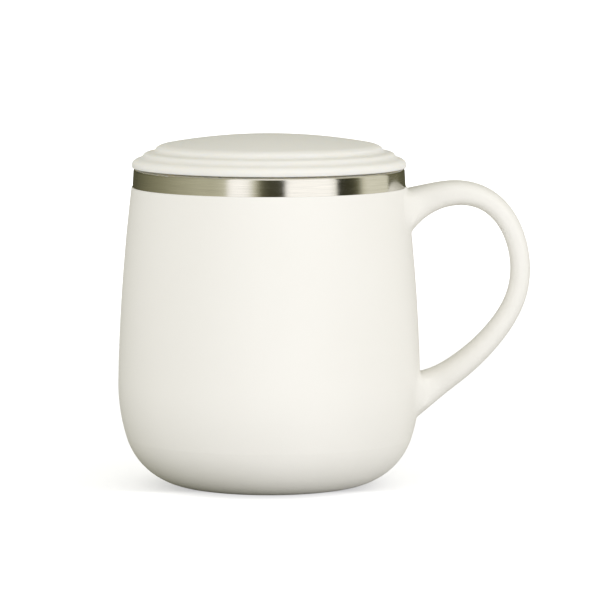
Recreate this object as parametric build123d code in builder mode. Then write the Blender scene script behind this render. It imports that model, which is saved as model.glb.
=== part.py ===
from build123d import *
import os
from math import asin, atan2, cos, degrees, hypot, radians, sin, sqrt, tan

# A tea mug of about 0.4 litre: a steel liner in a plastic shell with a handle, an
# infuser basket that hangs inside the mouth, and a lid that lifts off.
# Millimetres. Z is the axis of the mug, z = 0 is the table, and the handle points along +X.

# ---- shell: three tangent arcs of revolution, from the foot up to the neck ----
foot_radius = 24.3  # flat ring under the shell, out to where the first arc starts
foot_lift = 0.3  # the shell's foot above the table, which the pad bridges
corner_radius = 21.6
corner_sweep = 72.6  # degrees
belly_radius = 56.6
belly_sweep = 18.5  # degrees
side_radius = 593.0
shell_top = 94.4
shell_wall = 2.5
shell_edge_round = 0.18

# ---- base: a cover welded into the shell, with a glued pad ----
rebate_inset = 2.0  # rebate edge inside the foot radius
rebate_depth = 1.3
cover_ledge = 2.2  # width of the ledge that the cover rests against
pad_inset = 2.2  # pad edge inside the cover's spigot
pad_thickness = 1.5
pad_chamfer = 0.4
pad_groove_radii = (6.0, 12.0)
pad_groove_width = 1.2
pad_groove_depth = 0.5

# ---- liner: one drawn steel cup whose top is the bare band ----
sheet = 0.6
band_step = 0.3  # the shell stands this far proud of the band's foot
band_seat = 0.8  # how far the band's foot stands in the shell's rebated top
band_lean = 3.1  # degrees, inward
band_height = 6.0
band_bend = 0.7
rim_curl = 1.6  # the rim turns in by this much
rim_bend = 1.2
liner_gap = 2.2  # between the shell's neck and the liner wall
ledge_bend = 0.4
liner_floor_height = 6.5
liner_corner = 18.0
gasket_height = 1.5
gasket_drop = 0.5  # gasket below the liner's ledge
spacer_radius = 18.0
spacer_width = 6.0

# ---- handle: an oval bar along a smooth line from neck to belly ----
# Points from the shell's top edge: outward, and up or down.
handle_line = [(-5.9, -10.8), (4.6, -4.6), (18.6, -2.1), (25.3, -4.4),
               (35.2, -31.4), (28.3, -45.3), (12.9, -59.4), (-3.4, -67.4)]  # fmt: skip
bar_thickness = 6.2  # at the middle of the bow
bar_taper = 4.45  # thicker by this at the two ends
bar_width = 12.8
root_flare = 7.2  # extra thickness at the roots, falling off with the square
root_flare_length = 20.0
root_depth = 8.0  # the line's length inside the shell's surface, at each end
root_spread = 7.5  # extra width at the roots, falling off with the cube
root_spread_length = 11.0
handle_sections = 25
root_heights = (-6.3, -62.4)  # middle of each root, from the shell's top edge
tenon_depth = 1.1
tenon_width = 9.0
tenon_height = 7.0
tenon_corner = 2.0

# ---- screws that hold the handle, driven from inside the shell ----
screw_diameter = 2.9
screw_length = 8.0
screw_tip = 1.6
screw_head_diameter = 5.6
screw_head_height = 2.0
screw_hole_diameter = 3.3
screw_seat_diameter = 6.4
screw_seat_depth = 0.25
recess_width = 3.0
recess_slot = 0.8
recess_depth = 1.1

# ---- infuser: a collar that rests on the liner's ledge, and a perforated basket ----
collar_gap = 0.4  # between the rim and the collar's lip
collar_bend = 0.7
neck_bend = 1.2
neck_depth = 9.0
sleeve_inset = 5.0  # basket neck inside the lip
sleeve_sheet = 0.4
sleeve_lap = 5.0  # the sleeve reaches this far up into the collar's neck
basket_depth = 65.0  # below the ledge
floor_wall = 4.0
floor_bend = 1.0
hole_diameter = 3.2
hole_rows = 7
hole_columns = 26
hole_row_pitch = 7.2
floor_hole_pitch = 6.6

# ---- lid: a terraced cover, a plug welded under it and a sealing ring ----
lid_gap = 0.08  # between the rim and the lid's underside
lid_overhang = 0.16  # widest part of the lid outside the band's foot
lid_edge_width = 0.5  # rounding under the widest part
lid_edge_height = 1.0
ring_1_height = 2.08
ring_2_inset = 3.1  # inside the widest part
ring_2_width = 2.58
ring_2_height = 1.82
disc_inset = 3.86  # inside the second ring
shoulder_width = 4.92
shoulder_height = 2.62
shoulder_sweep = 71.0  # degrees, where the dome takes over
valley_round = 1.1  # in the two valleys between the lid's terraces
lid_wall = 2.2
plug_gap = 1.3  # between the plug and the collar's lip
plug_wall = 2.2
plug_floor = 1.6
plug_seat = 1.2  # how far the plug stands in the cover
plug_bearing = 0.9  # width of the step that it stands against
plug_clearance = 0.3  # above the collar's flange
plug_chamfer = 0.6
seal_height = 1.4
seal_depth = 0.9
seal_rise = 1.6  # seal above the plug's bottom
seal_gap = 0.1  # between the seal and the collar's lip

# ---- clearances ----
fit = 0.05  # radial, between fitted parts
tenon_fit = 0.1


# ---- geometry of the shell's arcs ----
def step(origin, distance, angle):
    """Point at a distance from origin, at an angle in degrees from +X."""
    return (origin[0] + distance * cos(radians(angle)), origin[1] + distance * sin(radians(angle)))


corner_end = corner_sweep - 90
belly_end = corner_end + belly_sweep
corner_centre = (foot_radius, foot_lift + corner_radius)
belly_centre = step(corner_centre, corner_radius - belly_radius, corner_end)
side_centre = step(belly_centre, belly_radius - side_radius, belly_end)


def shell_radius(height, inset=0.0):
    """Radius of the shell's side at a height, or of the surface at an inset from it."""
    side_start = side_centre[1] + (side_radius - inset) * sin(radians(belly_end))
    centre, radius = (side_centre, side_radius) if height > side_start else (belly_centre, belly_radius)
    return centre[0] + sqrt((radius - inset) ** 2 - (height - centre[1]) ** 2)


def shell_arcs(top, inset=0.0):
    """Draws the three arcs at an inset, from the foot up to a height."""
    side_end = degrees(asin((top - side_centre[1]) / (side_radius - inset)))
    CenterArc(corner_centre, corner_radius - inset, -90, corner_sweep)
    CenterArc(belly_centre, belly_radius - inset, corner_end, belly_sweep)
    CenterArc(side_centre, side_radius - inset, belly_end, side_end - belly_end)


def beside(points, distance):
    """The corners of a path moved sideways to its left, as the other face of a bent sheet."""
    moved = []
    for i, (x, y) in enumerate(points):
        ends = points[max(i - 1, 0)], points[i], points[min(i + 1, len(points) - 1)]
        runs = [(b[0] - a[0], b[1] - a[1]) for a, b in zip(ends, ends[1:]) if a != b]
        normals = [(-dy / hypot(dx, dy), dx / hypot(dx, dy)) for dx, dy in runs]
        (nx, ny), (mx, my) = normals[0], normals[-1]
        share = distance / (1 + nx * mx + ny * my)
        moved.append((x + share * (nx + mx), y + share * (ny + my)))
    return moved


def sheet_outline(points, bends, thickness):
    """Draws the closed section of a bent sheet. The path is one face, its bends are the radii on
    that face, and the sheet lies to the left of the path."""
    other = beside(points, thickness)
    turns = []
    for (ax, ay), (bx, by), (cx, cy) in zip(points, points[1:], points[2:]):
        turns.append((bx - ax) * (cy - by) - (by - ay) * (cx - bx))
    far_bends = [bend - thickness if turn > 0 else bend + thickness for bend, turn in zip(bends, turns)]
    FilletPolyline(*points, radius=bends)
    FilletPolyline(*other, radius=far_bends)
    Line(points[0], other[0])
    Line(points[-1], other[-1])


# ---- sizes that follow from those above ----
neck_radius = shell_radius(shell_top)
rim_top = shell_top + band_height
ledge_height = shell_top - band_seat
ledge_top = ledge_height + sheet
band_radius = neck_radius - band_step
rim_radius = band_radius - (rim_top - ledge_height) * tan(radians(band_lean))
mouth_radius = rim_radius - rim_curl
liner_radius = shell_radius(shell_top, shell_wall) - liner_gap

cover_radius = foot_radius - rebate_inset
opening_radius = cover_radius - cover_ledge
inside_floor = foot_lift + shell_wall
pad_radius = opening_radius - pad_inset

lip_radius = mouth_radius - collar_gap
lid_underside = rim_top + lid_gap
basket_radius = lip_radius - sleeve_inset
sleeve_radius = basket_radius - sheet - fit
basket_bottom = ledge_top - basket_depth

lid_radius = band_radius + lid_overhang
ring_2_radius = lid_radius - ring_2_inset
disc_radius = ring_2_radius - disc_inset
widest_height = lid_underside + lid_edge_height
ring_1_top = widest_height + ring_1_height
ring_2_top = ring_1_top + ring_2_height
shoulder_centre = (disc_radius - shoulder_width, ring_2_top)
dome_start = (shoulder_centre[0] + shoulder_width * cos(radians(shoulder_sweep)),
              shoulder_centre[1] + shoulder_height * sin(radians(shoulder_sweep)))  # fmt: skip
dome_slope = atan2(shoulder_height, shoulder_width * tan(radians(shoulder_sweep)))
dome_radius = dome_start[0] / sin(dome_slope)
lid_top = dome_start[1] + dome_radius * (1 - cos(dome_slope))

plug_radius = lip_radius - sheet - plug_gap
plug_bottom = ledge_top + sheet + plug_clearance
seal_radius = lip_radius - sheet - seal_gap

print("neck", round(neck_radius, 2), "lid top", round(lid_top, 2), "dome radius", round(dome_radius, 1))


# ---- outer_shell ----
with BuildPart() as envelope:
    with BuildSketch(Plane.XZ):
        with BuildLine():
            shell_arcs(shell_top)
            Polyline((neck_radius, shell_top), (0, shell_top), (0, foot_lift), (foot_radius, foot_lift))
        make_face()
    revolve(axis=Axis.Z)


def root_plane(drop, radius_inset):
    """Upright plane at a handle root, facing out along +X, at an inset from the shell's surface."""
    height = shell_top + drop
    return Plane((shell_radius(height) - radius_inset, 0, height), x_dir=(0, 1, 0), z_dir=(1, 0, 0))


screw_seat_inset = shell_wall - screw_seat_depth

with BuildPart() as outer_shell:
    with BuildSketch(Plane.XZ):
        with BuildLine():
            shell_arcs(shell_top)
            shell_arcs(ledge_height, shell_wall)
            Polyline(
                (neck_radius, shell_top),
                (band_radius + fit, shell_top),
                (band_radius + fit, ledge_height),
                (shell_radius(ledge_height, shell_wall), ledge_height),
            )
            Polyline(
                (foot_radius, inside_floor),
                (opening_radius, inside_floor),
                (opening_radius, foot_lift + rebate_depth),
                (cover_radius, foot_lift + rebate_depth),
                (cover_radius, foot_lift),
                (foot_radius, foot_lift),
            )
        make_face()
    revolve(axis=Axis.Z)
    fillet(outer_shell.edges().group_by(Axis.Z)[-1].sort_by(SortBy.RADIUS)[-1], shell_edge_round)
    for drop in root_heights:
        with BuildSketch(root_plane(drop, tenon_depth)):
            RectangleRounded(tenon_width + 2 * tenon_fit, tenon_height + 2 * tenon_fit, tenon_corner)
        extrude(amount=2 * tenon_depth, mode=Mode.SUBTRACT)
        with BuildSketch(root_plane(drop, screw_seat_inset)):
            Circle(screw_seat_diameter / 2)
        extrude(amount=-shell_wall, mode=Mode.SUBTRACT)
        with BuildSketch(root_plane(drop, screw_seat_inset)):
            Circle(screw_hole_diameter / 2)
        extrude(amount=shell_wall, mode=Mode.SUBTRACT)
outer_shell.part.label = "outer_shell"

# ---- base_cover: closes the shell from below, with a recess for the pad ----
with BuildPart() as base_cover:
    with BuildSketch(Plane.XZ):
        with BuildLine():
            Polyline(
                (0, pad_thickness),
                (pad_radius + fit, pad_thickness),
                (pad_radius + fit, foot_lift),
                (cover_radius - fit, foot_lift),
                (cover_radius - fit, foot_lift + rebate_depth),
                (opening_radius - fit, foot_lift + rebate_depth),
                (opening_radius - fit, inside_floor),
                (0, inside_floor),
                close=True,
            )
        make_face()
    revolve(axis=Axis.Z)
base_cover.part.label = "base_cover"

# ---- foot_pad: the silicone disc that the mug stands on ----
with BuildPart() as foot_pad:
    with BuildSketch():
        Circle(pad_radius)
    extrude(amount=pad_thickness)
    chamfer(foot_pad.edges().group_by(Axis.Z)[0], pad_chamfer)
    for radius in pad_groove_radii:
        with BuildSketch():
            Circle(radius + pad_groove_width / 2)
            Circle(radius - pad_groove_width / 2, mode=Mode.SUBTRACT)
        extrude(amount=pad_groove_depth, mode=Mode.SUBTRACT)
foot_pad.part.label = "foot_pad"

# ---- inner_liner: floor, wall, ledge, bare band and rolled rim in one sheet ----
with BuildPart() as inner_liner:
    with BuildSketch(Plane.XZ):
        with BuildLine():
            liner_path = [
                (0, liner_floor_height),
                (liner_radius, liner_floor_height),
                (liner_radius, ledge_height),
                (band_radius, ledge_height),
                (rim_radius, rim_top),
                (mouth_radius, rim_top),
            ]
            sheet_outline(liner_path, [liner_corner, ledge_bend, band_bend, rim_bend], sheet)
        make_face()
    revolve(axis=Axis.Z)
inner_liner.part.label = "inner_liner"

# ---- liner_gasket: centres the liner in the neck and keeps water out of the gap ----
with BuildPart() as liner_gasket:
    with BuildSketch(Plane.XY.offset(ledge_height - gasket_drop - gasket_height)):
        Circle(shell_radius(ledge_height, shell_wall) - fit)
        Circle(liner_radius + fit, mode=Mode.SUBTRACT)
    extrude(amount=gasket_height)
liner_gasket.part.label = "liner_gasket"

# ---- liner_spacer: the ring that carries the liner's floor on the base cover ----
with BuildPart() as liner_spacer:
    with BuildSketch(Plane.XY.offset(inside_floor)):
        Circle(spacer_radius)
        Circle(spacer_radius - spacer_width, mode=Mode.SUBTRACT)
    extrude(amount=liner_floor_height - inside_floor)
liner_spacer.part.label = "liner_spacer"

# ---- handle: oval sections lofted along its line, trimmed to the shell, with two tenons ----
line_points = [(neck_radius + out, 0, shell_top + up) for out, up in handle_line]
with BuildLine() as handle_path:
    Spline(*line_points)
bar_line = handle_path.edge()


def bar_section(share):
    """Plane, width and thickness of the bar at a share of its length."""
    plane = Plane(bar_line.position_at(share), x_dir=(0, 1, 0), z_dir=bar_line.tangent_at(share))
    from_end = min(share, 1 - share) * bar_line.length
    flare = max(0.0, 1 - from_end / root_flare_length)
    spread = max(0.0, 1 - max(0.0, from_end - root_depth) / root_spread_length)
    thickness = bar_thickness + bar_taper * (2 * share - 1) ** 2 + root_flare * flare**2
    return plane, bar_width + root_spread * spread**3, thickness


with BuildPart() as handle:
    for i in range(handle_sections):
        section_plane, width, thickness = bar_section(i / (handle_sections - 1))
        with BuildSketch(section_plane):
            Ellipse(width / 2, thickness / 2)
    loft()
    add(envelope.part, mode=Mode.SUBTRACT)
    for drop in root_heights:
        with BuildSketch(root_plane(drop, tenon_depth)):
            RectangleRounded(tenon_width, tenon_height, tenon_corner - tenon_fit)
        extrude(amount=2 * tenon_depth)
        with BuildSketch(root_plane(drop, tenon_depth)):
            Circle(screw_diameter / 2 + fit)
        extrude(amount=screw_length, mode=Mode.SUBTRACT)
handle.part.label = "handle"

# ---- handle_screws: two self-tapping screws with cross recesses ----
with BuildPart() as handle_screws:
    for drop in root_heights:
        seat = root_plane(drop, screw_seat_inset)
        with BuildSketch(seat):
            Circle(screw_head_diameter / 2)
        extrude(amount=-screw_head_height)
        with BuildSketch(seat):
            Circle(screw_diameter / 2)
        extrude(amount=screw_length - screw_tip)
        with BuildSketch(seat.offset(screw_length - screw_tip)):
            Circle(screw_diameter / 2)
        extrude(amount=screw_tip, taper=degrees(atan2(screw_diameter / 2 - 2 * fit, screw_tip)))
        with BuildSketch(seat.offset(-screw_head_height)):
            Rectangle(recess_width, recess_slot)
            Rectangle(recess_slot, recess_width)
        extrude(amount=recess_depth, mode=Mode.SUBTRACT)
handle_screws.part.label = "handle_screws"

# ---- infuser_collar: lip, flange and plain neck in one sheet ----
with BuildPart() as infuser_collar:
    with BuildSketch(Plane.XZ):
        with BuildLine():
            collar_path = [
                (basket_radius, ledge_top - neck_depth),
                (basket_radius, ledge_top),
                (lip_radius, ledge_top),
                (lip_radius, lid_underside),
            ]
            sheet_outline(collar_path, [neck_bend, collar_bend], sheet)
        make_face()
    revolve(axis=Axis.Z)
infuser_collar.part.label = "infuser_collar"

# ---- infuser_sleeve: perforated tube, welded inside the collar's neck and the floor's wall ----
sleeve_bottom = basket_bottom + floor_bend
sleeve_top = ledge_top - neck_depth + sleeve_lap
holes_middle = (basket_bottom + floor_wall + ledge_top - neck_depth) / 2
hole_planes = []
for row in range(hole_rows):
    height = holes_middle + (row - (hole_rows - 1) / 2) * hole_row_pitch
    for column in range(hole_columns):
        outward = Vector(1, 0, 0).rotate(Axis.Z, 360 / hole_columns * (column + row % 2 / 2))
        hole_planes.append(Plane(outward * sleeve_radius + Vector(0, 0, height), z_dir=outward))

with BuildPart() as infuser_sleeve:
    with BuildSketch(Plane.XY.offset(sleeve_bottom)):
        Circle(sleeve_radius)
        Circle(sleeve_radius - sleeve_sheet, mode=Mode.SUBTRACT)
    extrude(amount=sleeve_top - sleeve_bottom)
    with Locations(*hole_planes):
        Cylinder(hole_diameter / 2, 6 * sleeve_sheet, mode=Mode.SUBTRACT)
infuser_sleeve.part.label = "infuser_sleeve"

# ---- infuser_floor: perforated cup that closes the sleeve ----
floor_rings = int((sleeve_radius - hole_diameter) / floor_hole_pitch)

with BuildPart() as infuser_floor:
    with BuildSketch(Plane.XZ):
        with BuildLine():
            floor_path = [
                (0, basket_bottom),
                (sleeve_radius + fit + sheet, basket_bottom),
                (sleeve_radius + fit + sheet, basket_bottom + floor_wall),
            ]
            sheet_outline(floor_path, [floor_bend], sheet)
        make_face()
    revolve(axis=Axis.Z)
    with BuildSketch(Plane.XY.offset(basket_bottom)):
        Circle(hole_diameter / 2)
        for ring in range(1, floor_rings + 1):
            with PolarLocations(ring * floor_hole_pitch, 6 * ring):
                Circle(hole_diameter / 2)
    extrude(amount=sheet, mode=Mode.SUBTRACT)
infuser_floor.part.label = "infuser_floor"

# ---- lid_cover: two terraces, a raised disc and a shallow dome, hollow below ----
lid_edge_radius = lid_radius - lid_edge_width
dome_centre = lid_top - dome_radius
plug_top = lid_underside + plug_seat
cavity_radius = plug_radius - plug_bearing
upper_cavity_radius = disc_radius - lid_wall
ceiling_radius = dome_radius - lid_wall
ceiling_slope = asin(upper_cavity_radius / ceiling_radius)

with BuildPart() as lid_cover:
    with BuildSketch(Plane.XZ):
        with BuildLine():
            Line((plug_radius + fit, lid_underside), (lid_edge_radius, lid_underside))
            EllipticalCenterArc(
                (lid_edge_radius, widest_height), lid_edge_width, lid_edge_height, -90, arc_size=90
            )
            EllipticalCenterArc((ring_2_radius, widest_height), ring_2_inset, ring_1_height, 0, arc_size=90)
            EllipticalCenterArc(
                (ring_2_radius - ring_2_width, ring_1_top), ring_2_width, ring_2_height, 0, arc_size=90
            )
            Line((ring_2_radius - ring_2_width, ring_2_top), (disc_radius, ring_2_top))
            EllipticalCenterArc(
                shoulder_centre, shoulder_width, shoulder_height, 0, arc_size=shoulder_sweep
            )
            CenterArc((0, dome_centre), dome_radius, 90 - degrees(dome_slope), degrees(dome_slope))
            Line((0, lid_top), (0, lid_top - lid_wall))
            CenterArc(
                (0, dome_centre), ceiling_radius, 90 - degrees(ceiling_slope), degrees(ceiling_slope)
            )
            Polyline(
                (upper_cavity_radius, dome_centre + ceiling_radius * cos(ceiling_slope)),
                (upper_cavity_radius, ring_2_top - lid_wall),
                (cavity_radius, ring_2_top - lid_wall),
                (cavity_radius, plug_top),
                (plug_radius + fit, plug_top),
                (plug_radius + fit, lid_underside),
            )
        make_face()
    revolve(axis=Axis.Z)
    for radius, height in [(ring_2_radius, ring_1_top), (disc_radius, ring_2_top)]:
        circles = lid_cover.edges().filter_by(GeomType.CIRCLE)
        circles = circles.sort_by(lambda edge: hypot(edge.radius - radius, edge.arc_center.Z - height))
        fillet(circles[0], valley_round)
lid_cover.part.label = "lid_cover"

# ---- lid_plug: the cup under the cover, with a groove for the seal ----
seal_bottom = plug_bottom + seal_rise
groove_radius = plug_radius - seal_depth

with BuildPart() as lid_plug:
    with BuildSketch(Plane.XZ):
        with BuildLine():
            Polyline(
                (0, plug_bottom),
                (plug_radius - plug_chamfer, plug_bottom),
                (plug_radius, plug_bottom + plug_chamfer),
                (plug_radius, seal_bottom),
                (groove_radius, seal_bottom),
                (groove_radius, seal_bottom + seal_height),
                (plug_radius, seal_bottom + seal_height),
                (plug_radius, plug_top),
                (plug_radius - plug_wall, plug_top),
                (plug_radius - plug_wall, plug_bottom + plug_floor),
                (0, plug_bottom + plug_floor),
                close=True,
            )
        make_face()
    revolve(axis=Axis.Z)
lid_plug.part.label = "lid_plug"

# ---- lid_seal: the silicone ring in the plug's groove, with a round lip ----
with BuildPart() as lid_seal:
    with BuildSketch(Plane.XZ):
        with BuildLine():
            Polyline(
                (plug_radius, seal_bottom + seal_height),
                (groove_radius + fit, seal_bottom + seal_height),
                (groove_radius + fit, seal_bottom),
                (plug_radius, seal_bottom),
            )
            EllipticalCenterArc(
                (plug_radius, seal_bottom + seal_height / 2),
                seal_radius - plug_radius,
                seal_height / 2,
                -90,
                arc_size=180,
            )
        make_face()
    revolve(axis=Axis.Z)
lid_seal.part.label = "lid_seal"

pieces = [
    outer_shell,
    base_cover,
    foot_pad,
    inner_liner,
    liner_gasket,
    liner_spacer,
    handle,
    handle_screws,
    infuser_collar,
    infuser_sleeve,
    infuser_floor,
    lid_cover,
    lid_plug,
    lid_seal,
]
os.makedirs("parts", exist_ok=True)
for piece in pieces:
    export_step(piece.part, f"parts/{piece.part.label}.step")
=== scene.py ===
from math import atan2, ceil, cos, hypot, pi, radians, sin, sqrt

import bmesh
import bpy
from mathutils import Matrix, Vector
from mathutils.geometry import delaunay_2d_cdt


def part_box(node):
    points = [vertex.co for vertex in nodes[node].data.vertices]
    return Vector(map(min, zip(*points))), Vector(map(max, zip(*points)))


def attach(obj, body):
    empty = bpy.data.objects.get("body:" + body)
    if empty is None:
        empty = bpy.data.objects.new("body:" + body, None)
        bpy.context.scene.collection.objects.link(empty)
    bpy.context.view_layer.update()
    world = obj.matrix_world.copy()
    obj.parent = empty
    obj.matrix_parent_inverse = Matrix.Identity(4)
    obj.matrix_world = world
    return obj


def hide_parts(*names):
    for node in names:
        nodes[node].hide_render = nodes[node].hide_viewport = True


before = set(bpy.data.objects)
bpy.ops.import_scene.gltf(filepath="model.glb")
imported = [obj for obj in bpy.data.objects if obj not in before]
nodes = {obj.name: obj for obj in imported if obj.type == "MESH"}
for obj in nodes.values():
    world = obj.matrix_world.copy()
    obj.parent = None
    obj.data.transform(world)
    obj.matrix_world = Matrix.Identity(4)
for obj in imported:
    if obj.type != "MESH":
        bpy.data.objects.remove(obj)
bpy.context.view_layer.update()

MM = 0.001

# ------------------------------------------------------------------ camera
camera = bpy.data.objects.new("camera", bpy.data.cameras.new("camera"))
bpy.context.collection.objects.link(camera)
camera_tilt, camera_turn = 5.71, -0.37
camera.location = (0.0, -1.5, 0.2086)
camera.rotation_euler = (radians(90 - camera_tilt), 0.0, radians(camera_turn))
camera.data.sensor_width = 36.0
camera.data.lens = 287.66
camera.data.clip_start = 0.01
camera.data.clip_end = 100.0
bpy.context.scene.camera = camera
bpy.context.scene.view_settings.view_transform = "Standard"


# ------------------------------------------------------------------ materials
class Shader:
    """A new node material with a Principled shader and short ways to add nodes."""

    def __init__(self, name):
        self.material = bpy.data.materials.new(name)
        self.material.use_nodes = True
        self.tree = self.material.node_tree
        self.surface = self.tree.nodes["Principled BSDF"]
        self.place = self.add("ShaderNodeTexCoord").outputs["Object"]

    def add(self, kind, **values):
        node = self.tree.nodes.new(kind)
        for key, value in values.items():
            setattr(node, key, value)
        return node

    def link(self, source, target):
        self.tree.links.new(source, target)

    def noise(self, scale, detail, where=None, rough=0.5):
        node = self.add("ShaderNodeTexNoise")
        node.inputs["Scale"].default_value = scale
        node.inputs["Detail"].default_value = detail
        node.inputs["Roughness"].default_value = rough
        self.link(where or self.place, node.inputs["Vector"])
        return node.outputs["Fac"]

    def fit(self, value, start, end, low, high, curve="LINEAR"):
        """Maps a value from start..end to low..high."""
        node = self.add("ShaderNodeMapRange", interpolation_type=curve)
        limits = {"From Min": start, "From Max": end, "To Min": low, "To Max": high}
        for name, number in limits.items():
            node.inputs[name].default_value = number
        self.link(value, node.inputs["Value"])
        return node.outputs["Result"]

    def stretch(self, noise, low=0.0, high=1.0, margin=0.3):
        """Maps a noise, which lies mostly between margin and 1 - margin, to low..high."""
        return self.fit(noise, margin, 1 - margin, low, high)

    def maths(self, operation, a, b=None):
        node = self.add("ShaderNodeMath", operation=operation)
        for socket, value in zip(node.inputs, (a, b)):
            if isinstance(value, (int, float)):
                socket.default_value = value
            elif value is not None:
                self.link(value, socket)
        return node.outputs["Value"]

    def mix(self, share, first, second):
        node = self.add("ShaderNodeMix", data_type="RGBA")
        self.link(share, node.inputs["Factor"])
        for name, value in (("A", first), ("B", second)):
            socket = [s for s in node.inputs if s.name == name and s.type == "RGBA"][0]
            if isinstance(value, tuple):
                socket.default_value = (*value, 1.0)
            else:
                self.link(value, socket)
        return [s for s in node.outputs if s.type == "RGBA"][0]

    def bump(self, height, distance, strength, under=None):
        node = self.add("ShaderNodeBump")
        node.inputs["Strength"].default_value = strength
        node.inputs["Distance"].default_value = distance
        self.link(height, node.inputs["Height"])
        if under is not None:
            self.link(under, node.inputs["Normal"])
        return node.outputs["Normal"]

    def set(self, **values):
        for name, value in values.items():
            socket = self.surface.inputs[name.replace("_", " ")]
            if isinstance(value, (int, float, tuple)):
                socket.default_value = value
            else:
                self.link(value, socket)


def matt_paint(name, bright, deep, roughness, gloss, depth=0.0):
    """Warm white matt finish: faint clouds, a fine pigment speckle and a soft pebbled grain.

    A depth in metres lets light that far in, as bare plastic does.
    """
    s = Shader(name)
    cloud = s.stretch(s.noise(scale=34.0, detail=4.0))
    speckle = s.stretch(s.noise(scale=3200.0, detail=2.0), margin=0.35)
    share = s.maths("ADD", s.maths("MULTIPLY", cloud, 0.6), s.maths("MULTIPLY", speckle, 0.4))
    s.set(Base_Color=s.mix(share, deep, bright))
    patches = s.noise(scale=900.0, detail=3.0)
    s.set(Roughness=s.stretch(patches, roughness - 0.05, roughness + 0.05))
    grain = s.bump(s.noise(scale=5200.0, detail=3.0), distance=0.00003, strength=0.16)
    pebble = s.bump(s.noise(scale=620.0, detail=2.0), distance=0.0001, strength=0.05, under=grain)
    s.set(Normal=pebble, IOR=1.48, Specular_IOR_Level=gloss)
    if depth:
        s.set(Subsurface_Weight=1.0, Subsurface_Scale=depth, Subsurface_Radius=(1.0, 0.95, 0.85))
    return s.material


def brushed_steel(name, tint, roughness, lines, anisotropy):
    """Steel polished on a lathe: fine lines round the axis, with a few longer scratches."""
    s = Shader(name)
    parts = s.add("ShaderNodeSeparateXYZ")
    s.link(s.place, parts.inputs["Vector"])
    x, y, z = parts.outputs
    # Height and distance from the axis, mixed so that walls and flat faces both get rings.
    reach_weight = 1.31
    reach = s.maths("SQRT", s.maths("ADD", s.maths("MULTIPLY", x, x), s.maths("MULTIPLY", y, y)))
    across = s.maths("ADD", z, s.maths("MULTIPLY", reach, reach_weight))

    def lines_of(length, width):
        """Coordinates that stretch a noise into lines of this length and width, in metres."""
        joined = s.add("ShaderNodeCombineXYZ")
        s.link(s.maths("MULTIPLY", x, 1 / length), joined.inputs[0])
        s.link(s.maths("MULTIPLY", y, 1 / length), joined.inputs[1])
        s.link(s.maths("MULTIPLY", across, 1 / width), joined.inputs[2])
        return joined.outputs["Vector"]

    fine = s.noise(scale=1.0, detail=3.0, where=lines_of(length=0.013, width=0.00016), rough=0.65)
    broad = s.noise(scale=1.0, detail=2.0, where=lines_of(length=0.04, width=0.0011))
    marks = s.noise(scale=1.0, detail=1.0, where=lines_of(length=0.009, width=0.00007))
    dark = tuple(0.86 * c for c in tint)
    s.set(Base_Color=s.mix(s.stretch(fine, margin=0.32), dark, tint))
    worn = s.maths("ADD", s.maths("MULTIPLY", fine, 0.6), s.maths("MULTIPLY", broad, 0.4))
    s.set(Roughness=s.stretch(worn, roughness - 0.05, roughness + 0.06))
    brushed = s.bump(fine, distance=0.000012, strength=0.35 * lines)
    scratched = s.bump(marks, distance=0.000006, strength=0.25 * lines, under=brushed)
    tangent = s.add("ShaderNodeTangent", direction_type="RADIAL", axis="Z")
    s.set(Normal=scratched, Metallic=1.0, Anisotropic=anisotropy, Anisotropic_Rotation=0.25,
          Tangent=tangent.outputs["Tangent"])
    return s.material


def soft_rubber(name, bright, deep):
    """Milky silicone: faint clouding, a dusty bloom and a fine satin grain."""
    s = Shader(name)
    s.set(Base_Color=s.mix(s.stretch(s.noise(scale=160.0, detail=4.0)), deep, bright))
    s.set(Roughness=s.stretch(s.noise(scale=1400.0, detail=3.0), low=0.52, high=0.66))
    grain = s.bump(s.noise(scale=3600.0, detail=3.0), distance=0.00004, strength=0.2)
    s.set(Normal=grain, IOR=1.41, Sheen_Weight=0.08)
    s.set(Subsurface_Weight=0.12, Subsurface_Scale=0.0015)
    return s.material


# The shell is painted over its plastic, and the lid is bare plastic.
shell_paint = matt_paint("shell_paint", (0.885, 0.871, 0.838), (0.868, 0.853, 0.816),
                         roughness=0.54, gloss=0.36)
lid_plastic = matt_paint("lid_plastic", (0.865, 0.852, 0.82), (0.847, 0.834, 0.798),
                         roughness=0.56, gloss=0.2, depth=0.0018)
base_plastic = matt_paint("base_plastic", (0.865, 0.85, 0.81), (0.845, 0.828, 0.786),
                          roughness=0.46, gloss=0.36)
rim_steel = brushed_steel("rim_steel", (0.76, 0.745, 0.69),
                          roughness=0.14, lines=0.5, anisotropy=0.55)
basket_steel = brushed_steel("basket_steel", (0.74, 0.73, 0.69),
                             roughness=0.3, lines=0.7, anisotropy=0.6)
screw_steel = brushed_steel("screw_steel", (0.66, 0.65, 0.63),
                            roughness=0.3, lines=0.6, anisotropy=0.3)
silicone = soft_rubber("silicone", (0.84, 0.825, 0.79), (0.81, 0.795, 0.755))

finishes = {
    "outer_shell": shell_paint,
    "handle": shell_paint,
    "lid_cover": lid_plastic,
    "lid_plug": lid_plastic,
    "base_cover": base_plastic,
    "inner_liner": rim_steel,
    "infuser_collar": basket_steel,
    "infuser_sleeve": basket_steel,
    "infuser_floor": basket_steel,
    "handle_screws": screw_steel,
    "foot_pad": silicone,
    "liner_gasket": silicone,
    "liner_spacer": silicone,
    "lid_seal": silicone,
}
for node, finish in finishes.items():
    for slot in nodes[node].material_slots:
        slot.material = finish


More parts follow.
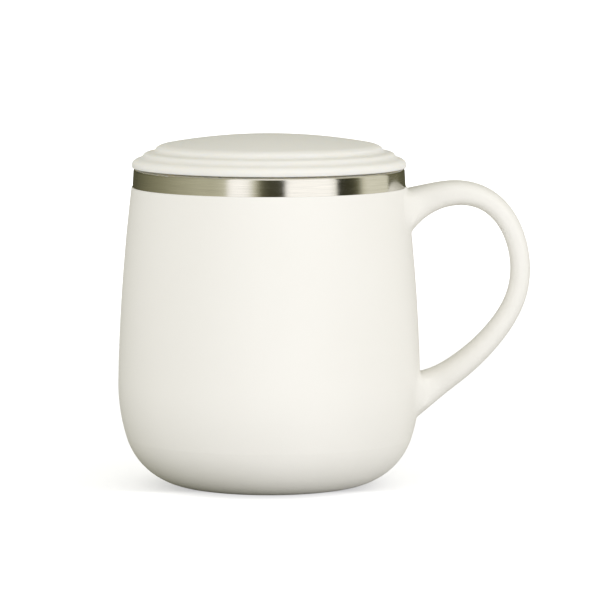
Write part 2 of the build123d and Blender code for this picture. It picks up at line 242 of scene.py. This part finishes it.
def new_piece(name, points, faces, finish, body, slot, stands_for):
    """A mesh piece, given in millimetres, that rides on a body and stands for CAD nodes."""
    mesh = bpy.data.meshes.new(name)
    mesh.from_pydata([tuple(MM * c for c in p) for p in points], [], faces)
    mesh.validate()
    fixed = bmesh.new()
    fixed.from_mesh(mesh)
    bmesh.ops.recalc_face_normals(fixed, faces=fixed.faces)
    fixed.to_mesh(mesh)
    fixed.free()
    piece = bpy.data.objects.new(name, mesh)
    bpy.context.collection.objects.link(piece)
    mesh.materials.append(finish)
    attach(piece, body)
    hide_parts(*stands_for)
    return piece


def shade(piece, angle):
    """Smooth shading, with the edges sharper than an angle in degrees left crisp."""
    mesh = piece.data
    mesh.polygons.foreach_set("use_smooth", [True] * len(mesh.polygons))
    mesh.set_sharp_from_angle(angle=radians(angle))


def between(one, two):
    """Four-cornered faces between two closed rings of points, which are given by number."""
    return list(zip(one, one[1:] + one[:1], two[1:] + two[:1], two))


def skin(rings, tips=()):
    """Points and faces of a skin over rings of points, with a point to close each end if given."""
    count = len(rings[0])
    points = [point for ring in rings for point in ring] + list(tips)
    numbers = [list(range(i * count, (i + 1) * count)) for i in range(len(rings))]
    faces = []
    for one, two in zip(numbers, numbers[1:]):
        faces += between(one, two)
    for ring, tip in zip((numbers[0], numbers[-1]), range(len(points) - len(tips), len(points))):
        faces += [(a, b, tip) for a, b in zip(ring, ring[1:] + ring[:1])]
    return points, faces


def turned(path, columns):
    """A ring of points round the axis for each radius and height of a path."""
    turns = [2 * pi * k / columns for k in range(columns)]
    return [[(radius * cos(a), radius * sin(a), height) for a in turns] for radius, height in path]


# ------------------------------------------------------------------ shell's side, in millimetres
foot_radius, foot_lift, corner_radius, corner_sweep = 24.3, 0.3, 21.6, 72.6
belly_radius, belly_sweep, side_radius, shell_top = 56.6, 18.5, 593.0, 94.4
belly_end = radians(corner_sweep - 90 + belly_sweep)
corner_end = radians(corner_sweep - 90)
belly_centre = (foot_radius + (corner_radius - belly_radius) * cos(corner_end),
                foot_lift + corner_radius + (corner_radius - belly_radius) * sin(corner_end))
side_centre = (belly_centre[0] + (belly_radius - side_radius) * cos(belly_end),
               belly_centre[1] + (belly_radius - side_radius) * sin(belly_end))


def shell_radius(height):
    """The shell's outside radius at a height, on its long side or on its belly."""
    on_side = height > side_centre[1] + side_radius * sin(belly_end)
    centre, radius = (side_centre, side_radius) if on_side else (belly_centre, belly_radius)
    return centre[0] + sqrt(radius**2 - (height - centre[1]) ** 2)


# ------------------------------------------------------------------ handle, blended into the shell
neck_radius = shell_radius(shell_top)
handle_line = [(-5.9, -10.8), (4.6, -4.6), (18.6, -2.1), (25.3, -4.4),
               (35.2, -31.4), (28.3, -45.3), (12.9, -59.4), (-3.4, -67.4)]
bar_thickness, bar_taper, bar_width = 6.2, 4.45, 12.8
root_flare, root_flare_length = 7.2, 20.0
root_depth, root_spread, root_spread_length = 8.0, 7.5, 11.0
section_power = 0.78  # 1 gives an ellipse, and less a squarer oval


def smooth_line(points, steps=1600):
    """Even points along a cubic spline, with end slopes from the three points at each end."""
    n = len(points)
    at = [0.0]
    for a, b in zip(points, points[1:]):
        at.append(at[-1] + hypot(b[0] - a[0], b[1] - a[1]))

    def slope(i, j, k, c):
        u, v, w = at[i], at[j], at[k]
        return (points[i][c] * (2 * u - v - w) / ((u - v) * (u - w))
                + points[j][c] * (u - w) / ((v - u) * (v - w))
                + points[k][c] * (u - v) / ((w - u) * (w - v)))

    runs = [b - a for a, b in zip(at, at[1:])]
    slopes = []
    for c in (0, 1):
        low, mid, high, right = [0.0], [1.0], [0.0], [slope(0, 1, 2, c)]
        for i in range(1, n - 1):
            before, after = runs[i - 1], runs[i]
            low.append(1 / before)
            mid.append(2 / before + 2 / after)
            high.append(1 / after)
            right.append(3 * ((points[i][c] - points[i - 1][c]) / before**2
                              + (points[i + 1][c] - points[i][c]) / after**2))
        low.append(0.0)
        mid.append(1.0)
        high.append(0.0)
        right.append(slope(n - 1, n - 2, n - 3, c))
        for i in range(1, n):
            share = low[i] / mid[i - 1]
            mid[i] -= share * high[i - 1]
            right[i] -= share * right[i - 1]
        found = [0.0] * n
        for i in reversed(range(n)):
            found[i] = (right[i] - (high[i] * found[i + 1] if i < n - 1 else 0.0)) / mid[i]
        slopes.append(found)
    fine = []
    for i in range(n - 1):
        count = ceil(steps * runs[i] / at[-1])
        for k in range(count + (i == n - 2)):
            t = k / count
            weights = (2 * t**3 - 3 * t**2 + 1, (t**3 - 2 * t**2 + t) * runs[i],
                       3 * t**2 - 2 * t**3, (t**3 - t**2) * runs[i])
            fine.append(tuple(
                weights[0] * points[i][c] + weights[1] * slopes[c][i]
                + weights[2] * points[i + 1][c] + weights[3] * slopes[c][i + 1] for c in (0, 1)))
    return fine


line = smooth_line([(neck_radius + out, shell_top + up) for out, up in handle_line])
travelled = [0.0]
for a, b in zip(line, line[1:]):
    travelled.append(travelled[-1] + hypot(b[0] - a[0], b[1] - a[1]))
line_length = travelled[-1]
direction_span = 6  # points on each side that the line's direction is taken over


def on_line(distance):
    """Place and direction on the handle's middle line, at a distance along it."""
    low, high = 0, len(travelled) - 2
    while low < high:
        middle = (low + high + 1) // 2
        low, high = (middle, high) if travelled[middle] <= distance else (low, middle - 1)
    a, b = line[low], line[low + 1]
    run = travelled[low + 1] - travelled[low]
    t = (distance - travelled[low]) / run
    before = line[max(low - direction_span, 0)]
    after = line[min(low + 1 + direction_span, len(line) - 1)]
    size = hypot(after[0] - before[0], after[1] - before[1])
    place = (a[0] + t * (b[0] - a[0]), a[1] + t * (b[1] - a[1]))
    return place, ((after[0] - before[0]) / size, (after[1] - before[1]) / size)


def eased(value):
    """A sine or cosine bent so that the oval is a little squarer than an ellipse."""
    return (1 if value > 0 else -1) * abs(value) ** section_power


def on_bar(distance, turn):
    """Point of the handle's oval surface, at a distance along its line and an angle round it."""
    (x, z), (dx, dz) = on_line(distance)
    share = distance / line_length
    from_end = min(distance, line_length - distance)
    flare = max(0.0, 1 - from_end / root_flare_length)
    spread = max(0.0, 1 - max(0.0, from_end - root_depth) / root_spread_length)
    thickness = bar_thickness + bar_taper * (2 * share - 1) ** 2 + root_flare * flare**2
    width = bar_width + root_spread * spread**3
    side = thickness / 2 * eased(sin(turn))
    return Vector((x - dz * side, width / 2 * eased(cos(turn)), z + dx * side))


def outside(point):
    """How far a point lies outside the shell, which is below zero inside it."""
    return hypot(point.x, point.y) - shell_radius(point.z)


def crossing(turn, end, halvings=40):
    """Distance along the line where the oval's surface comes out of the shell."""
    middle = line_length / 2
    inner, outer = (0.0, middle) if end == 0 else (line_length, middle)
    for _ in range(halvings):
        half = (inner + outer) / 2
        if outside(on_bar(half, turn)) > 0:
            outer = half
        else:
            inner = half
    return (inner + outer) / 2


def on_shell(point, sink):
    """The point of the shell at the same height and bearing, sunk a little into it."""
    size = hypot(point.x, point.y)
    radius = shell_radius(point.z) - sink
    return Vector((point.x * radius / size, point.y * radius / size, point.z))


bar_columns, bar_rows, blend_rows = 128, 150, 9
# The blend's radius is least above and below the handle and more at its sides.
blend_least, blend_more, blend_power = 0.45, 4.3, 2.2
blend_sink, tuck_in, tuck_back = 0.02, 1.2, 0.6  # how its edge goes into the shell
turns = [2 * pi * (k + 0.5) / bar_columns for k in range(bar_columns)]
ends = []
for end in (0, 1):
    cuts = [crossing(turn, end) for turn in turns]
    seam = [on_bar(cut, turn) for cut, turn in zip(cuts, turns)]
    middle = sum(seam, Vector()) / bar_columns
    strips, starts = [], []
    for k, turn in enumerate(turns):
        radius = blend_least + blend_more * abs(cos(turn)) ** blend_power
        start = cuts[k] + (radius if end == 0 else -radius)
        first = on_bar(start, turn)
        tangent = seam[(k + 1) % bar_columns] - seam[k - 1]
        normal = Vector((seam[k].x, seam[k].y, 0)).normalized()
        out = tangent.cross(normal).normalized()
        if out.dot(seam[k] - middle) < 0:
            out = -out
        last = on_shell(seam[k] + out * radius, blend_sink)
        strip = []
        for i in range(1, blend_rows + 1):
            t = i / blend_rows
            strip.append(first * (1 - t) ** 2 + seam[k] * 2 * t * (1 - t) + last * t**2)
        inward = Vector((last.x, last.y, 0)).normalized()
        strip.append(last - inward * tuck_in - out * tuck_back)
        strips.append(strip)
        starts.append(start)
    ends.append((strips, starts))

# Rings of points from the upper root's buried edge over the bar to the lower root's.
(upper_strips, upper_starts), (lower_strips, lower_starts) = ends
grid = [[strip[i] for strip in upper_strips] for i in reversed(range(blend_rows + 1))]
for i in range(bar_rows + 1):
    t = i / bar_rows
    grid.append([on_bar(a * (1 - t) + b * t, turn)
                 for a, b, turn in zip(upper_starts, lower_starts, turns)])
grid += [[strip[i] for strip in lower_strips] for i in range(blend_rows + 1)]
tips = [sum(ring, Vector()) / bar_columns for ring in (grid[0], grid[-1])]
handle_skin = new_piece("handle_skin", *skin(grid, tips), shell_paint, "mug", "shell_plastic",
                        ["handle"])
shade(handle_skin, angle=50)

# ------------------------------------------------------------------ infuser with fine perforation
sleeve_outer, sleeve_inner = 34.85, 34.45
sleeve_low, sleeve_high = (corner[2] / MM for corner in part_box("infuser_sleeve"))
hole_radius = 0.62
sleeve_columns = 84
row_pitch = 2 * pi * sleeve_outer / sleeve_columns * sqrt(3) / 2
plain_below, plain_above = 5.2, 6.4
hole_low, hole_high = sleeve_low + plain_below, sleeve_high - plain_above
sleeve_rows = int((hole_high - hole_low) / row_pitch)
hole_low = (hole_low + hole_high - sleeve_rows * row_pitch) / 2
pitch = 2 * pi / sleeve_columns
# The twelve points round a cell, in shares of its width and height from its middle.
cell_edge = [(0.5, 0.0), (0.5, 0.5), (0.25, 0.5), (0.0, 0.5), (-0.25, 0.5), (-0.5, 0.5),
             (-0.5, 0.0), (-0.5, -0.5), (-0.25, -0.5), (0.0, -0.5), (0.25, -0.5), (0.5, -0.5)]
hole_sides = len(cell_edge)
points, faces, known = [], [], {}


def sleeve_point(turn, height, layer):
    """The number of a point on the sleeve's outer (0) or inner (1) face, shared between cells."""
    key = (round(turn / pitch * 4) % (4 * sleeve_columns), round(height, 4), layer)
    if key not in known:
        radius = sleeve_inner if layer else sleeve_outer
        known[key] = len(points)
        points.append((radius * cos(turn), radius * sin(turn), height))
    return known[key]


def sleeve_ring(height, layer):
    """The numbers of the points all round the sleeve at a height."""
    return [sleeve_point(a, height, layer) for a in around]


for row in range(sleeve_rows):
    for column in range(sleeve_columns):
        turn = pitch * (column + 0.5 * (row % 2))
        height = hole_low + (row + 0.5) * row_pitch
        holes = []
        for layer, radius in ((0, sleeve_outer), (1, sleeve_inner)):
            cell = [sleeve_point(turn + a * pitch, height + b * row_pitch, layer)
                    for a, b in cell_edge]
            hole = []
            for a, b in cell_edge:
                angle = atan2(b * row_pitch, a * pitch * sleeve_outer)
                hole.append(len(points))
                bearing = turn + hole_radius * cos(angle) / sleeve_outer
                points.append((radius * cos(bearing), radius * sin(bearing),
                               height + hole_radius * sin(angle)))
            faces += between(cell, hole)
            holes.append(hole)
        faces += between(*holes)

# The plain wall below and above the holes, and the sleeve's two edges.
around = [pitch * k / 4 for k in range(4 * sleeve_columns)]
top_of_holes = hole_low + sleeve_rows * row_pitch
for low, high in ((sleeve_low, hole_low), (top_of_holes, sleeve_high)):
    for layer in (0, 1):
        faces += between(sleeve_ring(low, layer), sleeve_ring(high, layer))
for height in (sleeve_low, sleeve_high):
    faces += between(sleeve_ring(height, 0), sleeve_ring(height, 1))
infuser_mesh = new_piece("infuser_mesh", points, faces, basket_steel, "infuser", "infuser_steel",
                         ["infuser_sleeve"])
shade(infuser_mesh, angle=40)

# The floor cup: a disc with holes in a staggered grid, and a bent edge welded round the sleeve.
floor_low, cup_top = (corner[2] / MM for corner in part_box("infuser_floor"))
floor_sheet, cup_radius, cup_bend, bend_steps = 0.6, 35.5, 1.0, 6
rounded_edge = [(0.0, 0.4), (0.12, 0.1), (0.3, 0.0), (0.48, 0.1), (floor_sheet, 0.4)]  # in, down
flat_radius, hole_field, floor_pitch = 31.6, 30.2, 2.6
rows_out = 14  # rows and columns on each side of the middle, more than the field needs
inside_hole = 0.94  # in hole radii: a triangle whose middle is nearer than this lies in the hole
spots = []
for row in range(-rows_out, rows_out + 1):
    for column in range(-rows_out, rows_out + 1):
        x, y = floor_pitch * (column + 0.5 * (row % 2)), floor_pitch * row * sqrt(3) / 2
        if hypot(x, y) < hole_field:
            spots.append((x, y))
flat = [Vector((flat_radius * cos(a), flat_radius * sin(a))) for a in around]
edges = [(k, (k + 1) % len(flat)) for k in range(len(flat))]
hole_turns = [2 * pi * k / hole_sides for k in range(hole_sides)]
hole_edges = []
for x, y in spots:
    first = len(flat)
    flat += [Vector((x + hole_radius * cos(a), y + hole_radius * sin(a))) for a in hole_turns]
    edges += [(first + k, first + (k + 1) % hole_sides) for k in range(hole_sides)]
    hole_edges.append(list(range(first, len(flat))))
whole_area, tolerance = 0, 1e-6
places, _, triangles, *_ = delaunay_2d_cdt(flat, edges, [], whole_area, tolerance)
kept = []
for triangle in triangles:
    x = sum(places[k].x for k in triangle) / 3
    y = sum(places[k].y for k in triangle) / 3
    clear = all(hypot(x - a, y - b) > inside_hole * hole_radius for a, b in spots)
    if hypot(x, y) < flat_radius and clear:
        kept.append(tuple(triangle))
count = len(places)
points = [(p.x, p.y, floor_low) for p in places]
points += [(p.x, p.y, floor_low + floor_sheet) for p in places]
faces = kept + [tuple(k + count for k in reversed(t)) for t in kept]
for ring in hole_edges:
    faces += between(ring, [k + count for k in ring])


def cup_corner(radius, step):
    """A point of the bend, on the way from the cup's floor to its wall."""
    angle = pi / 2 * step / bend_steps
    return cup_radius - cup_bend + radius * sin(angle), floor_low + cup_bend - radius * cos(angle)


# The cup's side, from its underside out round the bend, over the rounded edge and back inside.
cup_side = [cup_corner(cup_bend, step) for step in range(bend_steps + 1)]
cup_side += [(cup_radius - inset, cup_top - drop) for inset, drop in rounded_edge]
cup_side += [cup_corner(cup_bend - floor_sheet, step) for step in reversed(range(bend_steps + 1))]
under = list(range(len(around)))
rings = [under]
for radius, height in cup_side:
    rings.append([len(points) + k for k in under])
    points += [(radius * cos(a), radius * sin(a), height) for a in around]
rings.append([k + count for k in under])
for one, two in zip(rings, rings[1:]):
    faces += between(one, two)
infuser_cup = new_piece("infuser_cup", points, faces, basket_steel, "infuser", "infuser_steel",
                        ["infuser_floor"])
shade(infuser_cup, angle=40)

# ------------------------------------------------------------------ lid cover, turned in one skin
lid_low, lid_high = (corner[2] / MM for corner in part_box("lid_cover"))
lid_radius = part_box("lid_cover")[1][0] / MM
plug_radius, plug_top = (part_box("lid_plug")[1][axis] / MM for axis in (0, 2))
lid_edge_width, lid_edge_height, widest_lift = 0.25, 0.4, 1.0
ring_1_width, ring_1_height = 3.1, 2.08
ring_2_width, ring_2_height = 2.58, 1.82
disc_inset = 3.86
shoulder_width, shoulder_height, shoulder_sweep = 4.92, 2.62, radians(71)
lid_wall, plug_bearing, plug_gap, valley_round, valley_steps = 2.2, 0.9, 0.05, 1.5, 8


def arc(centre, width, height, start, end, steps):
    """Points along an elliptical arc, between two angles in radians."""
    angles = [start + (end - start) * k / steps for k in range(steps + 1)]
    return [(centre[0] + width * cos(a), centre[1] + height * sin(a)) for a in angles]


def cut_off(path, distance):
    """The point at a distance along a path, and the rest of the path after it."""
    for k, (a, b) in enumerate(zip(path, path[1:])):
        run = hypot(b[0] - a[0], b[1] - a[1])
        if distance < run:
            t = distance / run
            return (a[0] + t * (b[0] - a[0]), a[1] + t * (b[1] - a[1])), path[k + 1:]
        distance -= run


def round_valley(before, after, radius):
    """Joins two paths that meet at a corner by a small curve."""
    corner = after[0]
    start, first = cut_off(before[::-1], radius)
    end, last = cut_off(after, radius)
    curve = []
    for k in range(valley_steps + 1):
        t = k / valley_steps
        weights = ((1 - t) ** 2, 2 * t * (1 - t), t**2)
        curve.append(tuple(weights[0] * start[c] + weights[1] * corner[c] + weights[2] * end[c]
                           for c in (0, 1)))
    return first[::-1] + curve + last


# The outside, from the bottom edge over the two rings and the shoulder to the top of the dome.
ring_2_radius = lid_radius - ring_1_width
disc_radius = ring_2_radius - disc_inset
widest = lid_low + widest_lift
ring_1_top = widest + ring_1_height
ring_2_top = ring_1_top + ring_2_height
skirt = arc((lid_radius - lid_edge_width, lid_low + lid_edge_height),
            lid_edge_width, lid_edge_height, -pi / 2, 0, steps=12)
ring_1 = arc((ring_2_radius, widest), ring_1_width, ring_1_height, 0, pi / 2, steps=28)
ring_2 = arc((ring_2_radius - ring_2_width, ring_1_top), ring_2_width, ring_2_height,
             0, pi / 2, steps=28)
shoulder = arc((disc_radius - shoulder_width, ring_2_top), shoulder_width, shoulder_height,
               0, shoulder_sweep, steps=20)
dome_edge, dome_height = shoulder[-1]
dome_radius = (dome_edge**2 + (lid_high - dome_height) ** 2) / (2 * (lid_high - dome_height))
dome_centre = (0.0, lid_high - dome_radius)
dome_slope = atan2(dome_edge, dome_height - dome_centre[1])
lid_outside = round_valley(skirt + ring_1, ring_2, valley_round)
lid_outside = round_valley(lid_outside + [(disc_radius, ring_2_top)], shoulder, valley_round)
lid_outside += arc(dome_centre, dome_radius, dome_radius,
                   pi / 2 - dome_slope, pi / 2, steps=24)[1:-1]
# The inside, from the top of the ceiling to the seat that the plug is fixed in.
ceiling_radius, ceiling_edge = dome_radius - lid_wall, disc_radius - lid_wall
ceiling_slope = atan2(ceiling_edge, sqrt(ceiling_radius**2 - ceiling_edge**2))
bearing_radius, seat_radius = plug_radius - plug_bearing, plug_radius + plug_gap
lid_inside = arc(dome_centre, ceiling_radius, ceiling_radius,
                 pi / 2, pi / 2 - ceiling_slope, steps=12)[1:]
lid_inside += [(ceiling_edge, ring_2_top - lid_wall), (bearing_radius, ring_2_top - lid_wall),
               (bearing_radius, plug_top), (seat_radius, plug_top), (seat_radius, lid_low)]
rings = turned(lid_inside + lid_outside, columns=240)
tips = [(0.0, 0.0, lid_high - lid_wall), (0.0, 0.0, lid_high)]
lid_skin = new_piece("lid_skin", *skin(rings, tips), lid_plastic, "lid", "lid_plastic",
                     ["lid_cover"])
shade(lid_skin, angle=35)


# ------------------------------------------------------------------ floor, studio panels and light
def stage_mesh(name, points, faces, finish):
    """A mesh of the stage, given in metres."""
    mesh = bpy.data.meshes.new(name)
    mesh.from_pydata(points, [], faces)
    thing = bpy.data.objects.new(name, mesh)
    bpy.context.collection.objects.link(thing)
    mesh.materials.append(finish)
    return thing


# The floor's colour where it throws light up: in a patch under the foot it is dark, olive painted
# shade that darkens the mug's underside, and outside it plain; and the colour that the camera sees.
shade_patch_colour, far_colour, seen_colour = (0.17, 0.164, 0.06), (0.58, 0.58, 0.555), (0.8, 0.806, 0.85)
shade_patch_centre = (-0.034, 0.022, 0.0)
shade_patch_edge = (0.04, 0.09)  # distances from its centre between which it fades out
# A glow that only the camera sees. It rises from glow_near to 1 between two distances from the
# axis. More glow is added before the foot, which is painted light over the foot's shadow there, and
# it fades out between two places along y.
glow_near, front_painted_light = 0.48, 0.18
glow_edge, front_light_edge = (0.3, 0.9), (-0.021, -0.012)


def floor_material():
    """Pale floor: white to the camera, with the object's shadow kept, a patch of painted shade
    under the foot in the light it throws up, and painted light over the shadow before the foot.
    """
    s = Shader("floor")
    s.tree.nodes.remove(s.surface)
    from_axis = s.add("ShaderNodeVectorMath", operation="LENGTH")
    s.link(s.place, from_axis.inputs[0])
    from_shade_patch = s.add("ShaderNodeVectorMath", operation="DISTANCE")
    s.link(s.place, from_shade_patch.inputs[0])
    from_shade_patch.inputs[1].default_value = shade_patch_centre
    parts = s.add("ShaderNodeSeparateXYZ")
    s.link(s.place, parts.inputs["Vector"])
    to_camera = s.add("ShaderNodeLightPath").outputs["Is Camera Ray"]
    # painted shade: the dark patch under the foot, which only the light thrown up sees, fades out
    # here
    clear = s.fit(from_shade_patch.outputs["Value"], *shade_patch_edge, 0.0, 1.0, "SMOOTHSTEP")
    matt = s.add("ShaderNodeBsdfDiffuse")
    s.link(s.mix(to_camera, s.mix(clear, shade_patch_colour, far_colour), seen_colour),
           matt.inputs["Color"])
    around_it = s.fit(from_axis.outputs["Value"], *glow_edge, glow_near, 1.0, "SMOOTHSTEP")
    # painted light: more glow on the floor before the foot, over the foot's shadow
    painted_light_in_front = s.fit(parts.outputs["Y"], *front_light_edge, front_painted_light, 0.0, "SMOOTHSTEP")
    glow = s.add("ShaderNodeEmission")
    s.link(s.maths("MULTIPLY", s.maths("ADD", around_it, painted_light_in_front), to_camera),
           glow.inputs["Strength"])
    total = s.add("ShaderNodeAddShader")
    s.link(matt.outputs[0], total.inputs[0])
    s.link(glow.outputs[0], total.inputs[1])
    s.link(total.outputs[0], s.tree.nodes["Material Output"].inputs["Surface"])
    return s.material


floor_radius, floor_sides = 8.0, 64
rim = turned([(floor_radius, 0.0)], floor_sides)[0]
stage_mesh("floor", rim, [tuple(range(floor_sides))], floor_material())

# Studio panels round the object, which only its gloss sees: bright boxes and dark flags.
# Each entry is an angle from the front, positive to the right, and the brightness there.
low_stops = [
    (-180, 0.07), (-148, 0.1), (-122, 0.205), (-100, 0.305), (-80, 0.43), (-60, 0.535), (-47, 0.55),
    (-36, 0.64), (-31.8, 1.28), (-23, 1.32), (-17, 1.2), (-11.5, 0.66), (-8, 0.22), (-5, 0.1),
    (0, 0.06), (11.9, 0.05), (13.5, 1.2), (17, 1.34), (51, 1.34), (56, 1.1), (57.8, 0.03),
    (72, 0.055), (78, 0.155), (84, 0.72), (89, 0.84), (115.5, 0.8), (118, 0.14), (134, 0.18),
    (141, 0.13), (152, 0.1), (180, 0.08)]
high_stops = [
    (-180, 0.12), (-122, 0.2), (-80, 0.4), (-39, 0.55), (-34, 1.15), (59, 1.1), (64, 0.6),
    (82, 0.6), (88, 0.75), (116, 0.5), (122, 0.08), (180, 0.06)]
pattern_change = (0.3, 0.4)  # heights between which the low pattern becomes the high one
panel_strength = 2.0  # the ramps hold the brightness divided by this, which keeps it below 1
# The panels' green and blue against their red: a least share, and more with the brightness.
green_least, green_more, blue_least, blue_more, whitest = 0.955, 0.02, 0.52, 0.36, 1.25


def panel_material():
    """Panels that glow in the low pattern below and the high pattern above."""
    s = Shader("studio_panels")
    parts = s.add("ShaderNodeSeparateXYZ")
    s.link(s.place, parts.inputs["Vector"])
    x, y, z = parts.outputs
    turn = s.maths("ARCTAN2", x, s.maths("MULTIPLY", y, -1.0))
    share = s.fit(turn, -pi, pi, 0.0, 1.0)
    colours = []
    for levels in (low_stops, high_stops):
        ramp = s.add("ShaderNodeValToRGB")
        stops = ramp.color_ramp.elements
        while len(stops) < len(levels):
            stops.new(0.5)
        for stop, (angle, level) in zip(stops, levels):
            stop.position = (angle + 180) / 360
        for stop, (angle, level) in zip(stops, levels):
            red, bright = level / panel_strength, min(level, whitest)
            green = red * (green_least + green_more * bright)
            stop.color = (red, green, red * (blue_least + blue_more * bright), 1.0)
        s.link(share, ramp.inputs["Fac"])
        colours.append(ramp.outputs["Color"])
    upper = s.fit(z, *pattern_change, 0.0, 1.0, "SMOOTHSTEP")
    s.tree.nodes.remove(s.surface)
    glow = s.add("ShaderNodeEmission")
    glow.inputs["Strength"].default_value = panel_strength
    s.link(s.mix(upper, *colours), glow.inputs["Color"])
    s.link(glow.outputs[0], s.tree.nodes["Material Output"].inputs["Surface"])
    return s.material


# The ring's wall stands on a flat skirt, so that the gloss sees the same pattern on the floor.
skirt_radius, skirt_lift, panel_radius, panel_top = 0.06, 0.0005, 0.62, 1.0
panel_path = [(skirt_radius, skirt_lift), (panel_radius, skirt_lift), (panel_radius, panel_top)]
panels = stage_mesh("studio_panels", *skin(turned(panel_path, columns=180)), panel_material())
panels.visible_camera = False
panels.visible_diffuse = False
panels.visible_shadow = False
panels.visible_transmission = False
panels.visible_volume_scatter = False

# Three soft boxes stand round the front, at one distance and elevation from a point in the mug.
lamp_distance, lamp_elevation, lamp_size = 2.5, 5.5, (1.3, 0.4)
lamp_target = Vector((0, 0, 0.05))


def soft_light(name, azimuth, level, colour):
    """A soft box that lights a surface facing it to a level, where 1 shows colours as written."""
    data = bpy.data.lights.new(name, "AREA")
    data.shape = "RECTANGLE"
    data.size, data.size_y = lamp_size
    data.energy = level * (pi * lamp_distance) ** 2
    data.color = colour
    lamp = bpy.data.objects.new(name, data)
    bpy.context.collection.objects.link(lamp)
    a, e = radians(azimuth), radians(lamp_elevation)
    back = Vector((sin(a) * cos(e), -cos(a) * cos(e), sin(e)))
    lamp.location = lamp_target + back * lamp_distance
    lamp.rotation_euler = back.to_track_quat("Z", "Y").to_euler()
    lamp.visible_glossy = False


soft_light("left_box", -51, 0.242, (1.0, 1.0, 1.09))
soft_light("front_box", 5, 0.2, (1.0, 1.0, 1.09))
soft_light("right_box", 64, 0.316, (1.0, 0.995, 1.07))

# The world is white to the camera, to gloss and through clear material, and otherwise a dim room.
room_colour, room_strength = (1.0, 0.992, 0.885), 0.69
white, white_strength = (1.0, 1.0, 1.0), 1.0
world = bpy.data.worlds.new("studio")
bpy.context.scene.world = world
world.use_nodes = True
tree = world.node_tree
tree.nodes.clear()
rays = tree.nodes.new("ShaderNodeLightPath")
sees_white = rays.outputs["Is Camera Ray"]
for kind in ("Is Glossy Ray", "Is Transmission Ray"):
    either = tree.nodes.new("ShaderNodeMath")
    either.operation = "MAXIMUM"
    tree.links.new(sees_white, either.inputs[0])
    tree.links.new(rays.outputs[kind], either.inputs[1])
    sees_white = either.outputs[0]
choice = tree.nodes.new("ShaderNodeMixShader")
tree.links.new(sees_white, choice.inputs[0])
for socket, colour, strength in ((1, room_colour, room_strength), (2, white, white_strength)):
    background = tree.nodes.new("ShaderNodeBackground")
    background.inputs["Color"].default_value = (*colour, 1.0)
    background.inputs["Strength"].default_value = strength
    tree.links.new(background.outputs[0], choice.inputs[socket])
output = tree.nodes.new("ShaderNodeOutputWorld")
tree.links.new(choice.outputs[0], output.inputs["Surface"])
